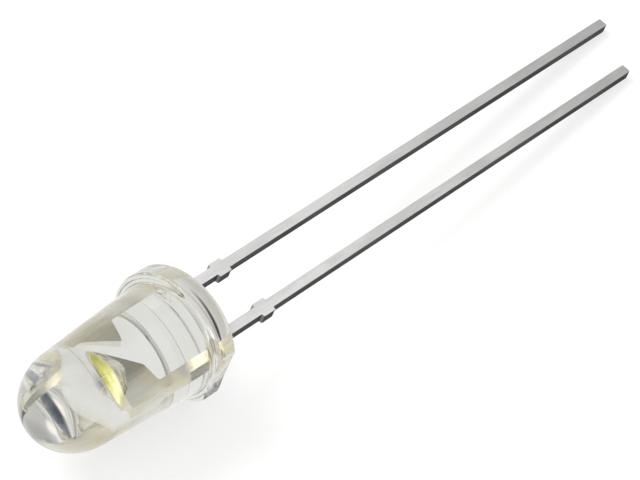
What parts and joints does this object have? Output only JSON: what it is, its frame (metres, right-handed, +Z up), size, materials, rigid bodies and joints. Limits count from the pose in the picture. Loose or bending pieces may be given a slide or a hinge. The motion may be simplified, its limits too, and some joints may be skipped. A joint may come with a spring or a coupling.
{
  "type": "through hole led",
  "caption": "Clear through-hole LED with a domed barrel, a flange with a polarity flat, a yellow phosphor cup and long straight square leads, lying on its side.",
  "frame": {"origin": "centre of the flange's underside, where the lens axis meets it", "axes": "+Z up with the part lying at rest; the lens dome points towards -X and slightly up, the leads run towards +X and down to the surface, the anode is on +Y and the cathode with the flange's flat on -Y"},
  "size_m": [0.0392, 0.0056, 0.0059],
  "materials": {
    "clear_epoxy": "water-clear cast epoxy, glossy",
    "plated_lead_frame": "silver-plated steel, satin",
    "die_adhesive": "cured adhesive",
    "chip": "polished crystal",
    "gold": "drawn gold",
    "phosphor": "yellow phosphor in resin, matt"
  },
  "bodies": {
    "root": {"epoxy_body": "clear_epoxy", "cathode_lead": "plated_lead_frame", "anode_lead": "plated_lead_frame", "die_bond": "die_adhesive", "led_chip": "chip", "chip_pads": "gold", "phosphor_fill": "phosphor", "cathode_wire": "gold", "anode_wire": "gold"}
  },
  "joints": []
}
